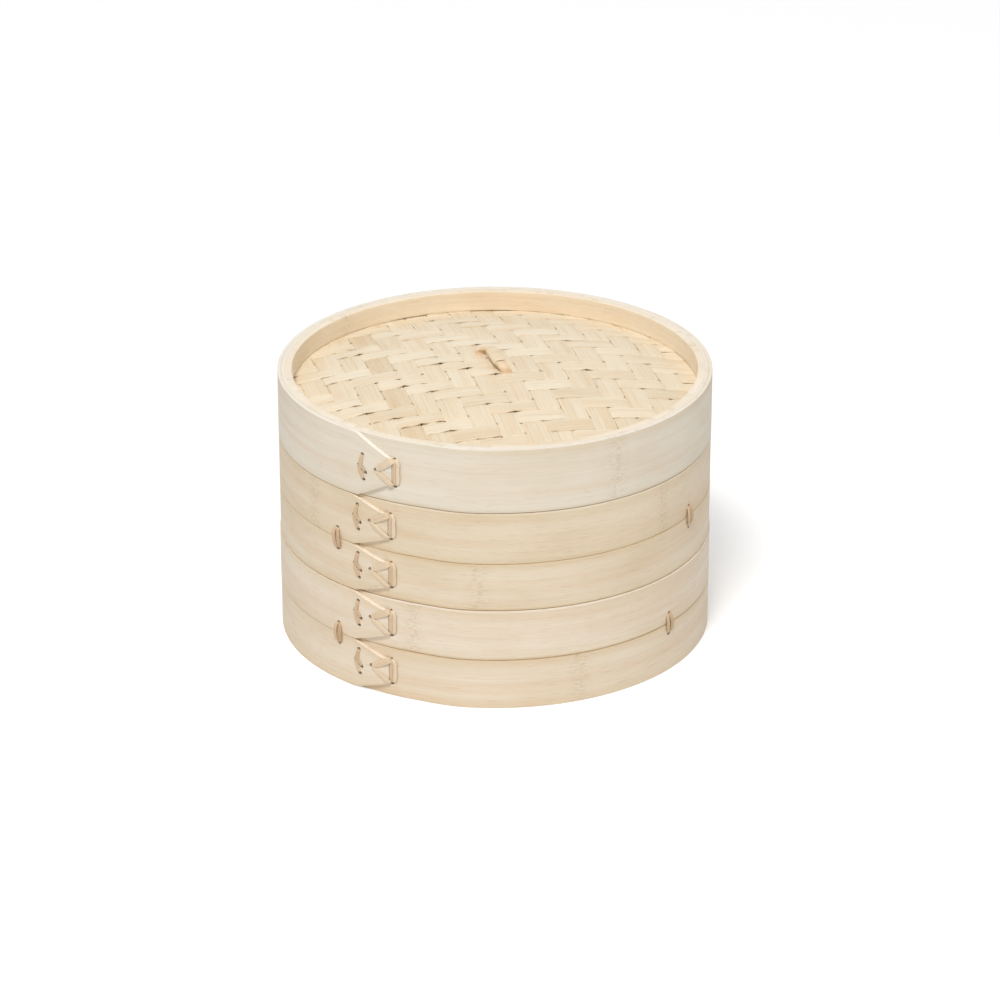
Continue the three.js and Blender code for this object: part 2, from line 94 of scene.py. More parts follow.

# Each hoop: angle that its holes are counted from, how far its tip stops short of that, angle of a node
# scar, length between its scars, tint, how far it stands in, how far its edges reach below and above the
# solid's, and the tints painted on those edges right of the lacing: 0 is the pale tint of a fresh cut, a tint
# paler than the strip's own is a painted highlight under a seam, and one over 1 is painted shade in a seam,
# warm brown
Hoop = namedtuple("Hoop", "tip short scar internode tint inset below above lower_edge upper_edge")
TIER_TIP = -28.5
LID_TIP = -26.5
TIER_SHORT = 0.6 * MM
LID_SHORT = 1.9 * MM
HOOPS = {
    "lower_tier_lower_hoop": Hoop(
        tip=TIER_TIP, short=TIER_SHORT, scar=22.5, internode=380 * MM, tint=0.5,
        inset=0.15 * MM, below=0, above=TIGHT_SEAM, lower_edge=None, upper_edge=1.12,
    ),
    "lower_tier_upper_hoop": Hoop(
        tip=TIER_TIP, short=TIER_SHORT, scar=-21.6, internode=300 * MM, tint=0.39,
        inset=0, below=-SLACK_SEAM, above=0, lower_edge=1.12, upper_edge=0,
    ),
    "upper_tier_lower_hoop": Hoop(
        tip=TIER_TIP, short=TIER_SHORT, scar=-4.5, internode=380 * MM, tint=0.58,
        inset=0.4 * MM, below=-OPEN_SEAM, above=TIGHT_SEAM, lower_edge=1.05, upper_edge=1.03,
    ),
    "upper_tier_upper_hoop": Hoop(
        tip=TIER_TIP, short=TIER_SHORT, scar=-54.6, internode=283.6 * MM, tint=0.66,
        inset=0.4 * MM, below=TIGHT_SEAM, above=0, lower_edge=1.03, upper_edge=0.5,
    ),
    "lid_outer_hoop": Hoop(
        tip=LID_TIP, short=LID_SHORT, scar=32.6, internode=380 * MM, tint=0.5,
        inset=0.25 * MM, below=-OPEN_SEAM, above=0, lower_edge=1.05, upper_edge=None,
    ),
}
# Band along each edge of a hoop that carries the painted seam shade and highlights
PAINTED_EDGE_BAND = 0.8 * MM
PAINTED_EDGE_FROM = (-80 * MM, -50 * MM)  # where the painted seam shade and highlights come in, along X

# Liners and rings
LINER_WALL = 4 * MM
LINER_INNER = LINER_OUTER - LINER_WALL
RING_STEPS = 160
RING_ROWS = 4
RING_EDGE = 0.5 * MM
BUTT_JOINT = 0.3 * MM
RIM_SEAT = 0.4 * MM  # the lid's upper ring is pressed tight into its hoop
RIM_PRESS = 0.4 * MM  # and down onto the weave
INTERNODE = 300 * MM  # usual length between two node scars

# Floor of a tier, and the notches that its crossbars lie in
PLANK_STEPS = 24
PLANK_ROWS = 6
PLANK_EDGE = 0.5 * MM
PLANK_CROWN = 0.3 * MM
SLAT_TINTS = (0.1, 0.9)
CROSSBAR_TINTS = (0.4, 0.8)
CROSSBAR_ROOM = 0.3 * MM
NOTCH_LONGER = 20 * MM  # a notch is cut past the crossbar's ends
NOTCH_HIGHER = 10 * MM  # and out through the liner's edge

# Woven panels of the lid: a twill of two over, two under
COLUMN_EDGE = -2.4 * MM
COLUMN_PITCH = 13.6 * MM
ROW_EDGE = -12.4 * MM
ROW_PITCH = 12.5 * MM
TWILL_SHIFT = 5
SPLINTS = 12  # on each side of the middle one
DIPS = 20  # on each side of the middle one
CROSSINGS = 32  # most that a splint has on each side
WEAVE_REACH = LINER_OUTER - 1.5 * MM
LAST_SPLINT = WEAVE_REACH - 4 * MM  # no splint lies further out
SPLINT_GAP = 0.06 * MM
SPLINT_NARROW = 0.15 * MM  # most that a splint is narrower than its room
SPLINT_ASIDE = 0.1 * MM  # most that it lies aside
SPLINT_ROLL = 0.01  # usual slope that it lies at
SPLINT_CROWN = 0.14 * MM
SPLINT_ROWS = 4
DIP = 8 * MM  # length over which a splint goes from over to under
DIP_STEPS = 4
GAPING = 0.48  # share of the crossings where a row's near edge stands off and a dark slit shows
GAPE = 0.18  # slope of the row there
GAPE_RANGE = (0.5, 1)
GAPE_FAR = 0.35  # share of that slope at the far right, where the rows lie flatter
GAPE_EASE = 80 * MM
GAPE_LENGTH = (5 * MM, 13 * MM)
PINCHING = 0.75  # share of the crossings where a splint is pinched and a dark dot shows at its corners
PINCH = 1.5 * MM
PINCH_RANGE = (0.4, 1)
ROW_PINCH = 0.6  # share of that for the rows
PINCH_LENGTH = 1.5 * MM
CALM_FROM = (0.8, 0.97)  # shares of the radius over which splints come to lie flat
RIM_FROM = (0.93, 0.99)  # and over which the ring holds them
RIM_FLATTEN = 0.45
RIM_RISE = 0.3 * MM

# Each panel: thickness of its solid, turn, thickness of a splint, how far it goes over and under, range of
# tints of columns and rows, tints of a few browner ones by number, and steps from dip to dip
Weave = namedtuple("Weave", "panel turn splint climb column_tints row_tints brown_columns brown_rows steps")
WEAVES = {
    "lid_woven_top": Weave(
        panel=2 * MM, turn=13, splint=0.48 * MM, climb=0.42 * MM, column_tints=(0.22, 0.42),
        row_tints=(0.05, 0.25), brown_columns={-5: 0.7}, brown_rows={2: 0.5, 5: 0.5}, steps=4,
    ),
    "lid_lining_weave": Weave(
        panel=1.6 * MM, turn=103, splint=0.7 * MM, climb=0.38 * MM, column_tints=(0.35, 0.6),
        row_tints=(0.1, 0.4), brown_columns={}, brown_rows={}, steps=2,
    ),
}

# Holes of the lacing (left, high, low) and of the stitch (head, right, left, foot):
# along the hoop, up from its mid height, and radius
Hole = namedtuple("Hole", "along up bore")
TIER_LACING = (
    Hole(-12.1 * MM, 1.5 * MM, 1.5 * MM),
    Hole(0.7 * MM, 8 * MM, 1.1 * MM),
    Hole(0.9 * MM, -7 * MM, 1.4 * MM),
)
LID_LACING = (
    Hole(-11.9 * MM, -0.9 * MM, 1.5 * MM),
    Hole(-0.5 * MM, 7.2 * MM, 1.1 * MM),
    Hole(-0.4 * MM, -9 * MM, 1.4 * MM),
)
STITCH = (
    Hole(-21 * MM, 9.5 * MM, 1.3 * MM),
    Hole(-19.2 * MM, -1 * MM, 1.35 * MM),
    Hole(-23.7 * MM, 2.6 * MM, 1.15 * MM),
    Hole(-20.4 * MM, -5.5 * MM, 1.35 * MM),
)
LID_STITCH_DROP = 3 * MM
LID_STITCH = tuple(hole._replace(up=hole.up - LID_STITCH_DROP) for hole in STITCH)
BORE_SIDES = 14
BORE_START = OUTER_RADIUS + 1 * MM
HOOP_BORE = 9 * MM  # depth of a bore through a hoop
LINER_BORE = 14 * MM  # and through a liner

# Strands of lacing: widths at the start, middle and end, tint, length that it widens over, and twist
Strand = namedtuple("Strand", "widths tint ramp twist")
LACE = 0.45 * MM
LACE_EDGE = 0.1 * MM
LACE_CROWN = 0.15 * MM
LACE_STEPS = 5
BEND_STEPS = 4
ENTRY = 1.1 * MM  # a strand goes in at the near side of its hole, and the rest stays open
ENTRY_SINK = 0.15 * MM
LEG = 2.4 * MM
STITCH_OVER = Strand((1.2 * MM, 2.6 * MM, 1.2 * MM), 0.75, 4 * MM, 20)
STITCH_LIFT = 0.6 * LACE  # where it crosses the other strand
STITCH_UNDER = Strand((1.2 * MM, 2.4 * MM, 1.2 * MM), 0.65, 4 * MM, -10)
LOW_SLANT = Strand((1.2 * MM, 3 * MM, 1.6 * MM), 0.2, 6 * MM, 0)
HIGH_SLANT = Strand((1.2 * MM, 4 * MM, 2.2 * MM), 0.4, 6 * MM, 0)
# Upright strands, with how far each lies right of the low hole and above the turn below
UPRIGHTS = (
    (Strand((1.1 * MM, 2.3 * MM, 1.1 * MM), 0.7, 3 * MM, 0), -0.1 * MM, 0.8 * MM),
    (Strand((1.8 * MM, 2.5 * MM, 1.6 * MM), 0.3, 3 * MM, 0), 2.1 * MM, 0.5 * MM),
)

# Wall ties across the seam of a tier's two hoops
TIE_ANGLES = {"lower_tier": (-45, 52.5), "upper_tier": (-45, 62)}
TIE_REACH = 6.2 * MM
TIE_TOE = 3 * MM
TIE_STRAND = 2.2 * MM
TIE_END = 0.6 * TIE_STRAND  # width at its ends
TIE_RAMP = 11 * MM
TIE_TINTS = (0.9, 0.75)
TIE_SKEW = (0.3 * MM, 0.7 * MM)
TIE_CLOSE = 0.85 * MM  # from a tie's middle to a strand at its ends
TIE_BOW = 1.1 * MM  # further out at mid height, where a gap shows between the strands
TIE_ROOM = 0.1 * MM  # between the liner and the toes
TIE_HOLE = 1.5 * MM

# Handle
FEET_TURN = 118
BAR_TURN = 104
FEET_SHIFT = Vector((-1.6 * MM, 0.4 * MM, 0))  # from the solid's middle
BAR_SHIFT = Vector((0.1 * MM, -0.7 * MM, 0))  # the bar leans over to one side of the feet
HANDLE_STRIP = 1.9 * MM
HANDLE_WIDTH = 6.4 * MM
HANDLE_EDGE = 0.35 * MM
HANDLE_TINT = 0.5
BAR_LENGTH = 24 * MM
LEG_REACH = 5 * MM
LOOP_RISE = 5.35 * MM  # of the solid loop above the weave
BAR_RISE = 4.1 * MM
SHOULDER = 0.8 * MM
HANDLE_TOE = 7 * MM

# Binding of the handle's bar, wound round it and round a packing strip
BINDING = 0.35 * MM
BINDING_CROWN = 0.3 * MM
BINDING_EDGE = 0.1 * MM
BINDING_TINT = 0.4
BINDING_TURNS = 4.5
BINDING_STEPS = 24  # in one turn
BINDING_GAP = 0.1 * MM
BINDING_INSET = 0.8 * MM
BINDING_ROOM = 0.05 * MM
SQUARENESS = 4  # 2 would wind it to an ellipse
LOOSE_END = 0.4 * MM  # the near end of the winding stands off the bar, and a dark gap shows there
PACKING = 0.35 * MM  # of the binding above and below the bar
PACKING_DROP = 0.3 * MM
CORE_SHORT = 1.2 * MM  # the packing strip stops short at the near end
CORE_INSET = 0.2 * MM
CORE_ROOM = 0.1 * MM
CORE_EDGE = 0.5 * MM
CORE_STEPS = 8
CORE_TINT = 0.6

draw = random.Random(11)


def around(radius, angle, height):
    """A point at an angle from the front."""
    turn = math.radians(angle)
    return Vector((radius * math.sin(turn), -radius * math.cos(turn), height))


def heading(turn):
    return Vector((math.cos(math.radians(turn)), math.sin(math.radians(turn)), 0))


def arc(length):
    """Degrees that a length takes on the outer turn."""
    return math.degrees(length / OUTER_RADIUS)


def mid_height(node):
    low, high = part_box(node)
    return (low.z + high.z) / 2


def smoothstep(value, low, high):
    share = min(max((value - low) / (high - low), 0), 1)
    return share * share * (3 - 2 * share)


def spread(first, last, steps):
    return [first + (last - first) * i / steps for i in range(steps + 1)]


def rows_across(half, steps):
    """Rows across a strip from edge to edge, the first and the last one narrow."""
    return [-half, *spread(EDGE_ROW - half, half - EDGE_ROW, steps - 2), half]


def waves(turn, counts, phases):
    """Waves round a hoop, from -1 to 0."""
    return sum(math.sin(count * turn + phase) - 1 for count, phase in zip(counts, phases)) / (2 * len(counts))


# Materials

# Patterns of split bamboo: length along the grain, width across it, and detail.
# Real fibres are about 0.2 mm wide and too fine to show, so they are drawn as coarse as they need to be.
GRAIN = {
    "dashes": (9 * MM, 0.6 * MM, 2),
    "threads": (70 * MM, 1.5 * MM, 2),
    "bands": (240 * MM, 8 * MM, 2),
    "blotches": (60 * MM, 24 * MM, 2),
    "crinkles": (2.6 * MM, 1 * MM, 2),
}
SCAR_BAND = 8 * MM
SCAR_WANDER = 3 * MM
SCAR_DEPTH = -2  # crinkles of a scar lie deeper than the fibres stand up
FIBRE_RELIEF = 0.12 * MM
FIBRE_BUMP = 0.35

# Sockets of a Mix node for colours
SHARE, BASE, TONE, MIXED = 0, 6, 7, 2


def paint(code):
    """An sRGB hex colour as linear red, green, blue and alpha."""
    channels = [int(code[start:start + 2], 16) / 255 for start in (1, 3, 5)]
    linear = [value / 12.92 if value <= 0.04045 else ((value + 0.055) / 1.055) ** 2.4 for value in channels]
    return (*linear, 1.0)


def add(tree, kind, inputs=None, **settings):
    """Adds a node. An input's value is a number, a colour or the socket that feeds it."""
    made = tree.nodes.new("ShaderNode" + kind)
    for name, value in settings.items():
        setattr(made, name, value)
    for socket, value in (inputs or {}).items():
        if isinstance(value, bpy.types.NodeSocket):
            tree.links.new(value, made.inputs[socket])
        else:
            made.inputs[socket].default_value = value
    return made


def bamboo(name, pale, deep, threads, dashes, scars, roughness):
    """Split bamboo: fine dashes of fibre, long threads, broad soft bands and a crinkled scar at each node."""
    material = bpy.data.materials.new(name)
    material.use_nodes = True
    tree = material.node_tree
    shader = tree.nodes["Principled BSDF"]
    flat = add(tree, "TexCoord").outputs["UV"]
    pattern = {}
    for kind, (length, width, detail) in GRAIN.items():
        scale = (INTERNODE / length, 1 / width, 1)
        drawn = add(tree, "Mapping", {"Vector": flat, "Scale": scale}).outputs[0]
        pattern[kind] = add(tree, "TexNoise", {"Vector": drawn, "Scale": 1, "Detail": detail}).outputs[0]

    # Distance to the nearest node scar, which wanders a little across the strip
    along = add(tree, "SeparateXYZ", {0: flat}).outputs[0]
    wander = 2 * SCAR_WANDER / INTERNODE
    shifted = {0: pattern["blotches"], 1: wander, 2: along}
    strayed = add(tree, "Math", shifted, operation="MULTIPLY_ADD").outputs[0]
    centred = add(tree, "Math", {0: strayed, 1: wander / 2}, operation="SUBTRACT").outputs[0]
    from_scar = add(tree, "Math", {0: centred, 1: 0.5}, operation="PINGPONG").outputs[0]
    fade = {0: from_scar, 1: SCAR_BAND / INTERNODE, 2: 0, 3: 0, 4: scars}
    band = add(tree, "MapRange", fade, interpolation_type="SMOOTHSTEP").outputs[0]
    ridges = add(tree, "MapRange", {0: pattern["crinkles"], 1: 0.45, 2: 0.7}).outputs[0]
    crinkled = add(tree, "Math", {0: band, 1: ridges}, operation="MULTIPLY").outputs[0]

    tint = add(tree, "Attribute", attribute_name="tint").outputs["Fac"]
    tinted = {SHARE: tint, BASE: paint(pale), TONE: paint(deep)}
    colour = add(tree, "Mix", tinted, data_type="RGBA").outputs[MIXED]
    # What darkens the strip: where it starts and is full, its strength and its tone
    layers = [
        # A tint over 1 is painted shade: the warm brown of a seam's shaded groove on the hoops
        (tint, 1, 2, 1, "#c07840"),
        (pattern["bands"], 0.42, 0.7, 0.5, "#f6e7d6"),
        (pattern["blotches"], 0.45, 0.75, 0.6, "#f4ede2"),
        (pattern["threads"], 0.48, 0.72, threads, "#d8c5a8"),
        (pattern["dashes"], 0.55, 0.75, dashes, "#c2a888"),
        (crinkled, 0, 1, 1, "#c4b096"),
    ]
    for source, low, high, strength, tone in layers:
        share = add(tree, "MapRange", {0: source, 1: low, 2: high, 3: 0, 4: strength}).outputs[0]
        layered = {SHARE: share, BASE: colour, TONE: paint(tone)}
        colour = add(tree, "Mix", layered, data_type="RGBA", blend_type="MULTIPLY").outputs[MIXED]
    tree.links.new(colour, shader.inputs["Base Color"])

    sheen = {0: pattern["dashes"], 1: 0.3, 2: 0.7, 3: roughness - 0.05, 4: roughness + 0.09}
    tree.links.new(add(tree, "MapRange", sheen).outputs[0], shader.inputs["Roughness"])
    heights = {0: crinkled, 1: SCAR_DEPTH, 2: pattern["dashes"]}
    relief = add(tree, "Math", heights, operation="MULTIPLY_ADD").outputs[0]
    bump = add(tree, "Bump", {"Height": relief, "Strength": FIBRE_BUMP, "Distance": FIBRE_RELIEF})
    tree.links.new(bump.outputs[0], shader.inputs["Normal"])
    return material


# Planed strips of the tiers: smooth, tan, with faint straight fibres and cream where they are cut
TIER_STRIP = bamboo(
    "planed_bamboo_tan", "#f5ebde", "#e0ccaa", threads=0.12, dashes=0.25, scars=0.38, roughness=0.5
)
# Planed strip of the lid: the same, but paler and a little greyer
LID_STRIP = bamboo(
    "planed_bamboo_pale", "#f5eee2", "#ded2ba", threads=0.1, dashes=0.2, scars=0.35, roughness=0.5
)
# Liners and rings: inner bamboo, warmer and yellower
INNER_STRIP = bamboo(
    "inner_bamboo_warm", "#f5e9d5", "#ecd8b8", threads=0.15, dashes=0.25, scars=0.4, roughness=0.52
)
# Splints of the woven lid: thin, from cream to greyish tan, with soft fibre lines along them
SPLINT = bamboo(
    "woven_bamboo_splint", "#f4e8d0", "#dcc6a4", threads=0.3, dashes=0.15, scars=0.1, roughness=0.5
)
# Lacing: thin strips scraped from the outer wall, matt, a little browner than the hoops
LACING = bamboo("lacing_bamboo", "#f1e3cb", "#cbab85", threads=0.3, dashes=0.25, scars=0, roughness=0.6)
# Floor slats: split and left rough, with strong threads
SLAT = bamboo("slat_bamboo", "#efdfc0", "#dcc49b", threads=0.45, dashes=0.45, scars=0.6, roughness=0.58)
# Handle: bent with steam, which leaves it a little peach
BENT_STRIP = bamboo(
    "steam_bent_bamboo", "#f4e2c6", "#e2c29c", threads=0.3, dashes=0.2, scars=0, roughness=0.48
)
# Binding: a thin smooth strip wound round the handle, pale and a little glossier
WOUND_STRIP = bamboo("wound_bamboo", "#f4e8d0", "#e6cfac", threads=0.3, dashes=0.2, scars=0, roughness=0.46)


# Mesh steps

SHARP = 1  # radians between two faces whose edge is rounded
SMOOTH_ANGLE = 40


def new_shape():
    shape = bmesh.new()
    shape.loops.layers.uv.new("grain")
    shape.loops.layers.float.new("tint")
    return shape


def lay_strip(
    shape, stations, rows, place, tint, rounding=0, scar=None, internode=INTERNODE, cut_tint=None, darkened=0
):
    """Adds one strip: a flat grid is given its thickness and then bent.

    Stations run along the grain and rows across it. place(station, row, under) gives the point,
    on the strip's outer face where under is 0 and on its inner face where it is 1. The cut sides
    between the two may have their own tint, which is partly a painted highlight where they face up,
    and both faces may be tinted darker along their edges.
    """
    columns = len(stations) - 1
    lines = len(rows) - 1
    under = bmesh.ops.create_grid(shape, x_segments=columns, y_segments=lines, size=0.5)["verts"]
    sheet = list(dict.fromkeys(face for vert in under for face in vert.link_faces))
    lifted = bmesh.ops.extrude_face_region(shape, geom=sheet)["geom"]
    outer = [part for part in lifted if isinstance(part, bmesh.types.BMVert)]
    flat = {}
    for side, verts in ((1, under), (0, outer)):
        for vert in verts:
            station = stations[round((vert.co.x + 0.5) * columns)]
            row = rows[round((vert.co.y + 0.5) * lines)]
            flat[vert] = (station, row)
            vert.co = place(station, row, side)
    faces = list(dict.fromkeys(face for vert in flat for face in vert.link_faces))
    bmesh.ops.recalc_face_normals(shape, faces=faces)

    grain = shape.loops.layers.uv["grain"]
    tone = shape.loops.layers.float["tint"]
    shift = draw.uniform(0, 8)
    start = scar if scar is not None else draw.uniform(0, 1) * internode
    below = set(under)
    for face in faces:
        face.smooth = True
        is_cut = len({vert in below for vert in face.verts}) == 2
        for loop in face.loops:
            station, row = flat[loop.vert]
            loop[grain].uv = ((station - start) / internode, row + shift)
            # Both faces are tinted darker towards the strip's edges
            near_edge = 1 - smoothstep(rows[-1] - abs(row), EDGE_ROW, DARKENING_REACH)
            loop[tone] = cut_tint if is_cut and cut_tint is not None else tint + darkened * near_edge
    if not rounding:
        return
    edges = dict.fromkeys(edge for face in faces for edge in face.edges)
    sharp = [edge for edge in edges if edge.calc_face_angle() > SHARP]
    rounded = bmesh.ops.bevel(
        shape, geom=sharp, offset=rounding, affect="EDGES", segments=2, profile=0.5, material=-1,
        clamp_overlap=True,
    )["faces"]
    # Rounded edges take the cut's pale tint, partly a painted highlight where they face up
    for loop in (loop for face in rounded for loop in face.loops):
        loop[tone] = tint if cut_tint is None else cut_tint


def smooth_line(knots, steps):
    """Points of a smooth line through the knots."""
    line = []
    for i in range(len(knots) - 1):
        start, end = knots[i], knots[i + 1]
        before = knots[max(i - 1, 0)]
        after = knots[min(i + 2, len(knots) - 1)]
        reach = (end - start).length / 3
        leave = start + (end - before).normalized() * reach
        arrive = end - (after - start).normalized() * reach
        line += interpolate_bezier(start, leave, arrive, end, steps + 1)[:-1]
    return line + [knots[-1]]


def lay_ribbon(shape, line, across, widths, thickness, tint, ramp=1 * MM, twist=0, rounding=0, crown=0):
    """Adds a thin strip whose inner face follows the line. Widths are at its start, middle and end."""
    lengths = [0]
    for before, after in zip(line, line[1:]):
        lengths.append(lengths[-1] + (after - before).length)
    total = lengths[-1]
    first, wide, last = widths
    sections = {}
    for i, station in enumerate(lengths):
        tangent = (line[min(i + 1, len(line) - 1)] - line[max(i - 1, 0)]).normalized()
        turned = Quaternion(tangent, math.radians(twist) * (station / total - 0.5)) @ across
        width = first + (wide - first) * smoothstep(station, 0, ramp)
        width += (last - wide) * smoothstep(station, total - ramp, total)
        sections[station] = (line[i], turned, tangent.cross(turned).normalized(), width / wide)

    def place(station, row, under):
        point, side, out, share = sections[station]
        swell = crown * (1 - (2 * row / wide) ** 2)
        return point + side * row * share + out * ((thickness + swell) * (1 - under))

    lay_strip(shape, lengths, spread(-wide / 2, wide / 2, 4), place, tint, rounding)


def set_down(shape, node, finish, holes=None):
    """Makes a piece of the shape. It stands for its solid and moves with the same body."""
    mesh = bpy.data.meshes.new(node + "_bamboo")
    shape.to_mesh(mesh)
    shape.free()
    piece = bpy.data.objects.new(mesh.name, mesh)
    bpy.context.collection.objects.link(piece)
    mesh.materials.append(finish)
    if holes:
        piece.data = bored(piece, holes)
    piece.data.set_sharp_from_angle(angle=math.radians(SMOOTH_ANGLE))
    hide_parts(node)
    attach(piece, BODY_OF[node])


def bored(piece, holes):
    """The piece's mesh with the holes cut through it."""
    mesh = bpy.data.meshes.new("drills")
    holes.to_mesh(mesh)
    holes.free()
    drills = bpy.data.objects.new("drills", mesh)
    bpy.context.collection.objects.link(drills)
    cut = piece.modifiers.new("holes", "BOOLEAN")
    cut.object = drills
    cut.operation = "DIFFERENCE"
    cut.solver = "EXACT"
    cut_piece = piece.evaluated_get(bpy.context.evaluated_depsgraph_get())
    result = bpy.data.meshes.new_from_object(cut_piece)
    piece.modifiers.remove(cut)
    bpy.data.objects.remove(drills)
    result.name = piece.name
    return result


def drill(holes, angle, height, radius, depth=HOOP_BORE):
    """Adds a round drill that points away from the axis."""
    point = around(BORE_START - depth / 2, angle, height)
    turned = around(1, angle, 0).to_track_quat("Z", "Y").to_matrix().to_4x4()
    bmesh.ops.create_cone(
        holes, cap_ends=True, segments=BORE_SIDES, radius1=radius, radius2=radius, depth=depth,
        matrix=Matrix.Translation(point) @ turned,
    )


# Hoops

TIE_SEAMS = {}
for tier in TIE_ANGLES:
    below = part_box(tier + "_lower_hoop")[1].z
    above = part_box(tier + "_upper_hoop")[0].z
    TIE_SEAMS[tier] = (below + above) / 2


def tie_angles(tier):
    return [angle + half for half in (0, 180) for angle in TIE_ANGLES[tier]]


def lace_holes(hoop_node):
    """Holes of the lacing and of the stitch."""
    return (LID_LACING, LID_STITCH) if hoop_node == "lid_outer_hoop" else (TIER_LACING, STITCH)


def hoop(node):
    strip = HOOPS[node]
    is_lid = node == "lid_outer_hoop"
    low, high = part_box(node)
    height = high.z - low.z
    middle = mid_height(node)
    full_turn = 2 * math.pi * OUTER_RADIUS
    dive_end = full_turn - UNDERLAP
    dive_start = dive_end - DIVE_LENGTH
    end = full_turn + dive_start + INNER_TAPER
    marks = [0, TIP_LENGTH, dive_start, dive_end, full_turn, end - full_turn]
    even = spread(0, full_turn, HOOP_STEPS)
    apart = [station for station in even if all(abs(station - mark) > SAME_STATION for mark in marks)]
    first_turn = sorted(marks + apart)
    second_turn = [full_turn + station for station in first_turn if 0 < station <= end - full_turn]
    uneven_phases = [draw.uniform(0, 2 * math.pi) for _ in UNEVEN_WAVES]
    wander_phases = [draw.uniform(0, 2 * math.pi) for _ in WANDER_WAVES]

    def place(station, row, under):
        angle = strip.tip - arc(strip.short + station)
        turn = math.radians(angle)
        drop_in = smoothstep(station, dive_start, dive_end) * STEP_DOWN
        pared = TIP_THIN * (1 - smoothstep(station, 0, TIP_THIN_LENGTH)) * (1 - under)
        pared += smoothstep(station - full_turn, dive_start, dive_end) * STEP_DOWN * (1 - under)
        radius = OUTER_RADIUS - strip.inset - pared - drop_in - HOOP_STRIP * under
        radius += UNEVEN * waves(turn, UNEVEN_WAVES, uneven_phases)
        share = min(station / TIP_LENGTH, 1)
        half = (TIP_HEIGHT + (height - TIP_HEIGHT) * share) / 2
        if row > 0 and not under:
            half -= TIP_SKIVE * (1 - smoothstep(station, *SKIVE_END))
        half += EDGE_WANDER * waves(turn, WANDER_WAVES, wander_phases)
        half += share * (strip.above if row > 0 else strip.below)
        return around(radius, angle, middle + half * row / (height / 2))

    shape = new_shape()
    scar = (strip.tip - arc(strip.short) - strip.scar) % 360 / 360 * full_turn
    lay_strip(
        shape, first_turn + second_turn, rows_across(height / 2, HOOP_ROWS), place, strip.tint,
        LID_EDGE if is_lid else HOOP_EDGE, scar, strip.internode, CUT_AND_HIGHLIGHT_TINT, EDGE_DARKENING,
    )

    # Painted shade and highlights along the seams, coming in right of the lacing
    tone = shape.loops.layers.float["tint"]
    plain = strip.tint + EDGE_DARKENING
    for loop in (loop for face in shape.faces for loop in face.loops):
        up = loop.vert.co.z - middle
        painted_edge = strip.upper_edge if up > 0 else strip.lower_edge
        if painted_edge is not None and height / 2 - abs(up) < PAINTED_EDGE_BAND:
            loop[tone] = plain + (painted_edge - plain) * smoothstep(loop.vert.co.x, *PAINTED_EDGE_FROM)

    holes = bmesh.new()
    lacing_holes, stitch_holes = lace_holes(node)
    for hole in lacing_holes + stitch_holes:
        drill(holes, strip.tip + arc(hole.along), middle + hole.up, hole.bore)
    tier = node.rsplit("_", 2)[0]
    if tier in TIE_ANGLES:
        level = TIE_SEAMS[tier] + (TIE_REACH if "upper_hoop" in node else -TIE_REACH)
        for angle in tie_angles(tier):
            drill(holes, angle, level, TIE_HOLE)
    set_down(shape, node, LID_STRIP if is_lid else TIER_STRIP, holes)


for node in HOOPS:
    hoop(node)


# Stitch through the overlap and lacing at the tip.
# A spot is along the hoop, up from its mid height, and on a wall of that radius.

Spot = namedtuple("Spot", "along up wall")


def beside(spot, along, up, lift=0):
    return Spot(spot.along + along, spot.up + up, spot.wall + lift)


def lay_strand(shape, hoop_node, strand, first, last, between):
    """Lays a strand from one hole to another, over the spots between them."""
    tip = HOOPS[hoop_node].tip
    middle = mid_height(hoop_node)
    ends = []
    for hole, near in ((first, between[0]), (last, between[-1])):
        away = Vector((near.along - hole.along, near.up - hole.up)).normalized() * ENTRY
        ends.append([beside(hole, away.x, away.y, -LEG), beside(hole, away.x, away.y, -ENTRY_SINK)])
    path = [*ends[0], *between, *reversed(ends[1])]
    knots = [around(spot.wall, tip + arc(spot.along), middle + spot.up) for spot in path]
    out = around(1, tip + arc(first.along), 0)
    across = out.cross(knots[-2] - knots[1]).normalized()
    lay_ribbon(
        shape, smooth_line(knots, LACE_STEPS), across, strand.widths, LACE, strand.tint, strand.ramp,
        strand.twist, LACE_EDGE, LACE_CROWN,
    )


def stitch(node, hoop_node):
    """Two short strands through the overlap, one over the other."""
    wall = OUTER_RADIUS - HOOPS[hoop_node].inset
    holes = lace_holes(hoop_node)[1]
    head, right, left, foot = (Spot(hole.along, hole.up, wall) for hole in holes)
    shape = new_shape()
    over = [
        beside(head, -0.5 * MM, -1.8 * MM),
        beside(left, 1.5 * MM, 0.4 * MM, STITCH_LIFT),
        beside(right, -0.9 * MM, 1.6 * MM),
    ]
    lay_strand(shape, hoop_node, STITCH_OVER, head, right, over)
    under = [beside(left, 0.5 * MM, -1.8 * MM), beside(foot, -0.8 * MM, 1.9 * MM)]
    lay_strand(shape, hoop_node, STITCH_UNDER, left, foot, under)
    set_down(shape, node, LACING)


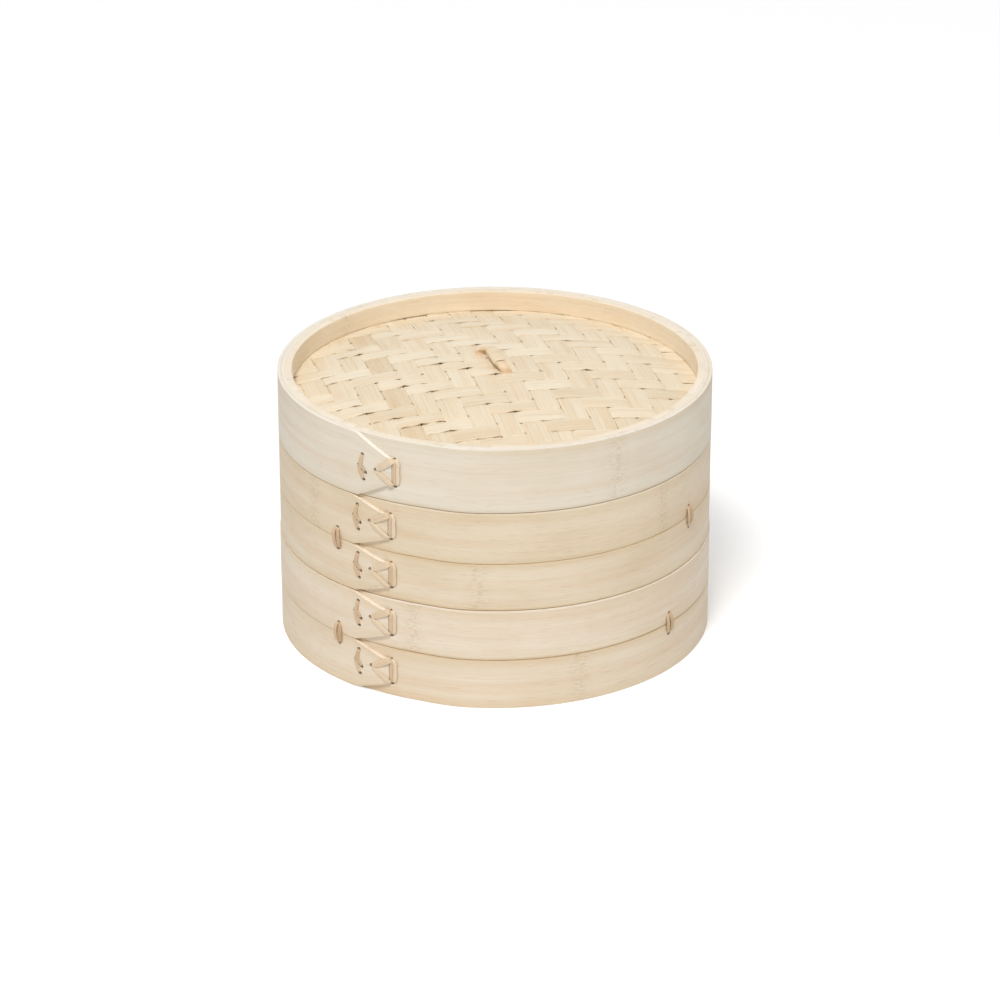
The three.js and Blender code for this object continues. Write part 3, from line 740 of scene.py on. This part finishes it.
def lacing(node, hoop_node):
    """Two strands that slant from the strip down to the turn below, and two upright ones past its end."""
    strip = HOOPS[hoop_node]
    wall = OUTER_RADIUS - strip.inset
    below = wall - STEP_DOWN
    holes = lace_holes(hoop_node)[0]
    left, high, low = (Spot(hole.along, hole.up, lies) for hole, lies in zip(holes, (wall, below, below)))
    shape = new_shape()

    # Bends past the left hole, near the strip's end and just over it
    end = -strip.short
    bends = (
        (left.along + 2.3 * MM, wall),
        (end - 3 * MM, wall - 0.1 * MM),
        (end + 0.3 * MM, wall - 0.6 * MM),
    )
    for strand, hole in ((LOW_SLANT, low), (HIGH_SLANT, high)):
        between = []
        for along, radius in bends:
            share = (along - left.along) / (hole.along - left.along)
            between.append(Spot(along, left.up + (hole.up - left.up) * share, radius))
        lay_strand(shape, hoop_node, strand, left, hole, between)

    for strand, aside, lift in UPRIGHTS:
        heights = (high.up - 2.4 * MM, 0.5 * MM, low.up + 2.2 * MM)
        between = [Spot(low.along + aside, up, below + lift) for up in heights]
        lay_strand(shape, hoop_node, strand, high, low, between)
    set_down(shape, node, LACING)


for hoop_node in HOOPS:
    base = hoop_node.replace("_outer_hoop", "").replace("_hoop", "")
    stitch(base + "_stitch", hoop_node)
    lacing(base + "_lacing", hoop_node)


# Wall ties: two strands over the seam, turned back inside the liner


def wall_tie(node, angle, seam):
    shape = new_shape()
    across = around(1, angle - 90, 0)
    skew = draw.uniform(*TIE_SKEW)
    top = OUTER_RADIUS
    inside = LINER_INNER - TIE_ROOM - LACE
    # From the toe inside the liner, out through the upper hole and over the seam: radius and height
    half = [
        (inside, TIE_REACH + TIE_TOE),
        (inside, TIE_REACH + 1 * MM),
        (inside + 0.6 * MM, TIE_REACH - 0.3 * MM),
        (top - 0.8 * MM, TIE_REACH - 0.5 * MM),
        (top, TIE_REACH - 1.3 * MM),
        (top + 0.7 * MM, TIE_REACH / 3),
    ]
    profile = half + [(radius, -up) for radius, up in reversed(half)]
    for side, tint in zip((-1, 1), TIE_TINTS):
        knots = []
        for radius, up in reversed(profile):
            bow = TIE_BOW * (1 - min(abs(up) / TIE_REACH, 1) ** 2)
            shift = side * (TIE_CLOSE + bow) + skew * up / TIE_REACH
            knots.append(around(radius, angle, seam + up) + across * shift)
        line = smooth_line(knots, BEND_STEPS)
        widths = (TIE_END, TIE_STRAND, TIE_END)
        lay_ribbon(shape, line, across, widths, LACE, tint, TIE_RAMP, 0, LACE_EDGE, LACE_CROWN)
    set_down(shape, node, LACING)


for tier, seam in TIE_SEAMS.items():
    for number, angle in enumerate(tie_angles(tier), start=1):
        wall_tie(f"{tier}_tie_{number}", angle, seam)


# Liners and rings: one strip bent round, its ends butted at an angle of its own


def ring(node, outer, joint, tint, holes=None, press=0):
    low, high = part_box(node)
    low.z -= press
    middle = (low.z + high.z) / 2
    half = (high.z - low.z) / 2
    wall = outer - LINER_INNER
    length = 2 * math.pi * outer - BUTT_JOINT

    def place(station, row, under):
        return around(outer - wall * under, joint + math.degrees(station / outer), middle + row)

    shape = new_shape()
    stations = spread(0, length, RING_STEPS)
    # The ring's cut sides, its rim among them, take the pale tint of a fresh cut, partly a painted highlight
    lay_strip(shape, stations, rows_across(half, RING_ROWS), place, tint, RING_EDGE, cut_tint=0)
    set_down(shape, node, INNER_STRIP, holes)


ring("lid_upper_ring", LINER_OUTER + RIM_SEAT, joint=-40, tint=0.4, press=RIM_PRESS)
ring("lid_lower_ring", LINER_OUTER, joint=205, tint=0.6)
for tier, seam in TIE_SEAMS.items():
    skirt_holes = bmesh.new()
    liner_holes = bmesh.new()
    for angle in tie_angles(tier):
        drill(skirt_holes, angle, seam - TIE_REACH, TIE_HOLE, LINER_BORE)
        drill(liner_holes, angle, seam + TIE_REACH, TIE_HOLE, LINER_BORE)
    for end in ("front", "rear"):
        low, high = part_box(f"{tier}_{end}_crossbar")
        room = Vector((NOTCH_LONGER, 2 * CROSSBAR_ROOM, 2 * CROSSBAR_ROOM + NOTCH_HIGHER))
        size = Matrix.Diagonal((*(high - low + room), 1))
        spot = Matrix.Translation((low + high) / 2 + Vector((0, 0, NOTCH_HIGHER / 2)))
        bmesh.ops.create_cube(skirt_holes, size=1, matrix=spot @ size)
    ring(f"{tier}_skirt_liner", LINER_OUTER, joint=190, tint=0.6, holes=skirt_holes)
    ring(f"{tier}_liner", LINER_OUTER, joint=172, tint=0.5, holes=liner_holes)


# Floor slats and the crossbars under them: planks with ends cut to the floor's circle


def plank(node, lengthwise, tint):
    low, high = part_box(node)
    other = 1 - lengthwise
    middle = (low[other] + high[other]) / 2
    half = (high[other] - low[other]) / 2
    thickness = high.z - low.z

    def place(station, row, under):
        offset = middle + row
        swell = PLANK_CROWN * (row / half) ** 2 * (1 - under)
        point = Vector((0, 0, high.z - thickness * under - swell))
        point[other] = offset
        point[lengthwise] = station * math.sqrt(1 - (offset / FLOOR_RADIUS) ** 2)
        return point

    shape = new_shape()
    stations = spread(-FLOOR_RADIUS, FLOOR_RADIUS, PLANK_STEPS)
    lay_strip(shape, stations, spread(-half, half, PLANK_ROWS), place, tint, PLANK_EDGE)
    set_down(shape, node, SLAT)


for node in BODY_OF:
    if "_slat_" in node:
        plank(node, 1, draw.uniform(*SLAT_TINTS))
    elif node.endswith("_crossbar"):
        plank(node, 0, draw.uniform(*CROSSBAR_TINTS))


# Woven panels


def column_on_top(column, row):
    return (row - column - TWILL_SHIFT) % 4 < 2


def lie(cell, side_at, dip):
    """Height of a splint from -1, under, to 1, over, at a place counted in crossing splints."""
    index = math.floor(cell)
    share = cell - index
    if share < 0.5:
        before, after, place = side_at(index - 1), side_at(index), 0.5 + share / dip
    else:
        before, after, place = side_at(index), side_at(index + 1), 0.5 - (1 - share) / dip
    return before + (after - before) * smoothstep(place, 0, 1)


def some(share, chances):
    """For each crossing a share in a range, or 0 at those that chance leaves out."""
    return [draw.uniform(*share) * (draw.random() < chances) for _ in range(2 * CROSSINGS)]


def woven_panel(node):
    """A twill of crowned splints on a shallow dome."""
    weave = WEAVES[node]
    low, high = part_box(node)
    rise = high.z - low.z - weave.panel
    base = low.z + weave.panel / 2
    u_way, v_way = heading(weave.turn), heading(weave.turn + 90)
    shape = new_shape()
    families = (
        (True, COLUMN_EDGE, COLUMN_PITCH, ROW_EDGE, ROW_PITCH),
        (False, ROW_EDGE, -ROW_PITCH, COLUMN_EDGE, COLUMN_PITCH),
    )
    for is_column, edge, pitch, cross_edge, cross_pitch in families:
        tints = weave.column_tints if is_column else weave.row_tints
        browner = weave.brown_columns if is_column else weave.brown_rows
        widest_pinch = PINCH if is_column else PINCH * ROW_PINCH
        for number in range(-SPLINTS, SPLINTS + 1):
            middle = edge + (number + 0.5) * pitch + draw.uniform(-SPLINT_ASIDE, SPLINT_ASIDE)
            width = abs(pitch) - SPLINT_GAP - draw.uniform(0, SPLINT_NARROW)
            rolls = [draw.gauss(0, SPLINT_ROLL) for _ in range(2 * CROSSINGS)]
            gapes = some(GAPE_RANGE, GAPING)
            lengths = [draw.uniform(*GAPE_LENGTH) for _ in range(2 * CROSSINGS)]
            pinches = some(PINCH_RANGE, PINCHING)
            tint = browner[number] if number in browner else draw.uniform(*tints)
            if abs(middle) + width / 2 > LAST_SPLINT:
                continue
            reach = math.sqrt(WEAVE_REACH ** 2 - middle ** 2)
            stations = [-reach, reach]
            for dip in range(-DIPS, DIPS + 1):
                mark = cross_edge + dip * cross_pitch
                flat_from = mark + DIP / 2
                stations += [mark + DIP * share for share in spread(-0.5, 0.5, DIP_STEPS)]
                stations += spread(flat_from, flat_from + cross_pitch - DIP, weave.steps)[1:-1]
            stations = sorted(station for station in stations if abs(station) <= reach)

            def side_at(crossing):
                over = column_on_top(number, crossing) if is_column else not column_on_top(crossing, number)
                return 1 if over else -1

            def place(station, row, under):
                along = station / reach * math.sqrt(max(WEAVE_REACH ** 2 - (middle + row) ** 2, 0))
                cell = (ROW_EDGE - along) / ROW_PITCH if is_column else (along - COLUMN_EDGE) / COLUMN_PITCH
                nearest = round(cell)
                away = abs(cell - nearest) * cross_pitch
                pinch = widest_pinch * pinches[nearest + CROSSINGS] * (1 - smoothstep(away, 0, PINCH_LENGTH))
                across = middle + row * (1 - 2 * pinch / width)
                u, v = (across, along) if is_column else (along, across)
                spot = math.hypot(u, v) / LINER_INNER
                dome = rise * (1 - min(spot, 1) ** 2)

                level = lie(cell, side_at, DIP / cross_pitch)
                index = math.floor(cell) + CROSSINGS
                blend = smoothstep(cell - math.floor(cell), 0, 1)
                slope = rolls[index] * (1 - blend) + rolls[index + 1] * blend
                if not is_column:
                    near = 1 - smoothstep(away, 0, lengths[nearest + CROSSINGS])
                    flatter = 1 - (1 - GAPE_FAR) * smoothstep(u + v, -GAPE_EASE, GAPE_EASE)
                    slope -= GAPE * gapes[nearest + CROSSINGS] * near * max(level, 0) * flatter
                tilt = slope * row * (1 - smoothstep(spot, *CALM_FROM))
                swell = SPLINT_CROWN * (1 - (2 * row / width) ** 2)
                rim = smoothstep(spot, *RIM_FROM)
                heave = weave.climb * level * (1 - RIM_FLATTEN * rim) + RIM_RISE * rim
                height = base + dome + heave + tilt + swell + weave.splint * (0.5 - under)
                return u_way * u + v_way * v + Vector((0, 0, height))

            lay_strip(shape, stations, spread(-width / 2, width / 2, SPLINT_ROWS), place, tint)
    set_down(shape, node, SPLINT)


for node in WEAVES:
    woven_panel(node)


# Handle: a strip bent to a low arch, with a thin strip wound round its bar

loop_low, loop_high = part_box("handle_loop")
handle_spot = (loop_low + loop_high) / 2
handle_spot.z = loop_high.z - LOOP_RISE
feet_spot = handle_spot + FEET_SHIFT
bar_spot = handle_spot + BAR_SHIFT
feet_along = heading(FEET_TURN)
bar_along = heading(BAR_TURN)
bar_across = heading(BAR_TURN + 90)


def on_handle(along, across, up):
    """A point measured from the weave under the middle of the bar."""
    return bar_spot + bar_along * along + bar_across * across + Vector((0, 0, up))


def handle_loop():
    """The feet stand on a line that is turned a little from the bar."""
    foot = BAR_LENGTH / 2 + LEG_REACH
    toe = loop_low.z - handle_spot.z
    lower = HANDLE_STRIP / 2
    # From a toe up to the bar: distance from the middle, height, and share of the way from bar to feet
    half = [
        (foot + HANDLE_TOE, toe, 1),
        (foot + 2 * MM, toe, 1),
        (foot - lower, toe + 2 * MM, 1),
        (foot - lower, SHOULDER - 4 * MM, 1),
        (foot - lower - 0.2 * MM, SHOULDER - lower, 1),
        (foot - 1.2 * MM, BAR_RISE * 0.35, 0.9),
        (BAR_LENGTH / 2 + 3 * MM, BAR_RISE - lower - 0.7 * MM, 0.5),
        (BAR_LENGTH / 2 + 0.2 * MM, BAR_RISE - lower, 0.1),
        (BAR_LENGTH / 2 - 3 * MM, BAR_RISE - lower, 0),
    ]
    knots = []
    for end, profile in ((-1, half), (1, reversed(half))):
        for along, up, share in profile:
            on_bar = bar_spot + bar_along * along * end
            on_feet = feet_spot + feet_along * along * end
            knots.append(on_bar.lerp(on_feet, share) + Vector((0, 0, up)))
    shape = new_shape()
    line = smooth_line(knots, BEND_STEPS)
    widths = (HANDLE_WIDTH,) * 3
    lay_ribbon(shape, line, bar_across, widths, HANDLE_STRIP, HANDLE_TINT, rounding=HANDLE_EDGE)
    set_down(shape, "handle_loop", BENT_STRIP)


def handle_binding():
    """A strip wound round the bar and a packing strip that fills it out."""
    wide = HANDLE_WIDTH / 2 + BINDING_ROOM
    tall = HANDLE_STRIP / 2 + PACKING
    middle = BAR_RISE - PACKING_DROP
    pitch = (BAR_LENGTH - 2 * BINDING_INSET + BINDING_GAP) / (BINDING_TURNS + 1)
    line = []
    for step in range(round(BINDING_TURNS * BINDING_STEPS) + 1):
        turn = step / BINDING_STEPS
        side, rise = math.cos(2 * math.pi * turn), math.sin(2 * math.pi * turn)
        squarer = (side ** SQUARENESS + rise ** SQUARENESS) ** (-1 / SQUARENESS)
        loose = LOOSE_END * (1 - smoothstep(turn, 0, 1))
        along = pitch * (turn - BINDING_TURNS / 2)
        line.append(on_handle(
            along, (wide + loose / 2) * side * squarer, middle + (tall + loose) * rise * squarer
        ))
    shape = new_shape()
    widths = (pitch - BINDING_GAP,) * 3
    lay_ribbon(
        shape, line, bar_along, widths, BINDING, BINDING_TINT, rounding=BINDING_EDGE, crown=BINDING_CROWN
    )
    reach = BAR_LENGTH / 2 - BINDING_INSET - CORE_INSET
    core = [on_handle(along, 0, middle - tall) for along in spread(CORE_SHORT - reach, reach, CORE_STEPS)]
    widths = (2 * wide - CORE_ROOM,) * 3
    lay_ribbon(shape, core, bar_across, widths, 2 * tall - CORE_ROOM, CORE_TINT, rounding=CORE_EDGE)
    set_down(shape, "handle_binding", WOUND_STRIP)


handle_loop()
handle_binding()


# Floor, light and camera

FLOOR_SPAN = 14
FLOOR_GLOW = 0.3  # what the camera sees added to the lit floor, so that it reads white
SKY = 0.47  # strength of its light on the object
# Each lamp: its place, size and power
LAMPS = {
    "front_softbox": ((-0.72, -2.9, 4.5), 1.2, 168),
    "top_softbox": ((-0.4, 0.2, 4.6), 2, 10),
    "right_fill": ((3.4, -1.2, 0.7), 1.2, 7.5),
}
LAMP_AIM = Vector((0, 0, 0.1))


def studio_floor():
    plane = bmesh.new()
    bmesh.ops.create_grid(plane, x_segments=1, y_segments=1, size=FLOOR_SPAN / 2)
    mesh = bpy.data.meshes.new("studio_floor")
    plane.to_mesh(mesh)
    plane.free()
    # White paper: matt, and so pale that only the shadow shows on it
    paper = bpy.data.materials.new("white_paper")
    paper.use_nodes = True
    tree = paper.node_tree
    shader = tree.nodes["Principled BSDF"]
    shader.inputs["Base Color"].default_value = paint("#e8e8e8")
    shader.inputs["Roughness"].default_value = 0.9
    shader.inputs["Emission Color"].default_value = (1, 1, 1, 1)
    seen = add(tree, "LightPath").outputs["Is Camera Ray"]
    glow = add(tree, "Math", {0: seen, 1: FLOOR_GLOW}, operation="MULTIPLY").outputs[0]
    tree.links.new(glow, shader.inputs["Emission Strength"])
    mesh.materials.append(paper)
    floor = bpy.data.objects.new("studio_floor", mesh)
    bpy.context.collection.objects.link(floor)


def studio_sky():
    """White where the camera, a reflection or glass shows it, and dimmer as a light."""
    world = bpy.data.worlds.new("studio_sky")
    world.use_nodes = True
    tree = world.node_tree
    paths = add(tree, "LightPath").outputs
    seen = paths["Is Camera Ray"]
    for other in ("Is Glossy Ray", "Is Transmission Ray"):
        seen = add(tree, "Math", {0: seen, 1: paths[other]}, operation="MAXIMUM").outputs[0]
    strength = add(tree, "MapRange", {0: seen, 1: 0, 2: 1, 3: SKY, 4: 1}).outputs[0]
    background = tree.nodes["Background"]
    background.inputs["Color"].default_value = (1, 1, 1, 1)
    tree.links.new(strength, background.inputs["Strength"])
    bpy.context.scene.world = world


def softbox(name, place, size, power):
    lamp = bpy.data.lights.new(name, "AREA")
    lamp.shape = "SQUARE"
    lamp.size = size
    lamp.energy = power
    box = bpy.data.objects.new(name, lamp)
    box.location = place
    box.rotation_euler = (LAMP_AIM - Vector(place)).to_track_quat("-Z", "Y").to_euler()
    bpy.context.collection.objects.link(box)


studio_floor()
studio_sky()
for name, (place, size, power) in LAMPS.items():
    softbox(name, place, size, power)

CAMERA_RISE = 23.905
CAMERA_DISTANCE = 2533.8 * MM
CAMERA_AIM = Vector((2.98 * MM, 0, 73.8 * MM))
CAMERA_LENS = 154.43  # this and the sensor are in millimetres
SENSOR_WIDTH = 36

rise = math.radians(CAMERA_RISE)
view_line = Vector((0, -math.cos(rise), math.sin(rise)))
lens = bpy.data.cameras.new("photo_camera")
lens.lens = CAMERA_LENS
lens.sensor_width = SENSOR_WIDTH
camera = bpy.data.objects.new("photo_camera", lens)
camera.location = CAMERA_AIM + view_line * CAMERA_DISTANCE
camera.rotation_euler = (-view_line).to_track_quat("-Z", "Y").to_euler()
bpy.context.collection.objects.link(camera)
bpy.context.scene.camera = camera
bpy.context.scene.view_settings.view_transform = "Standard"
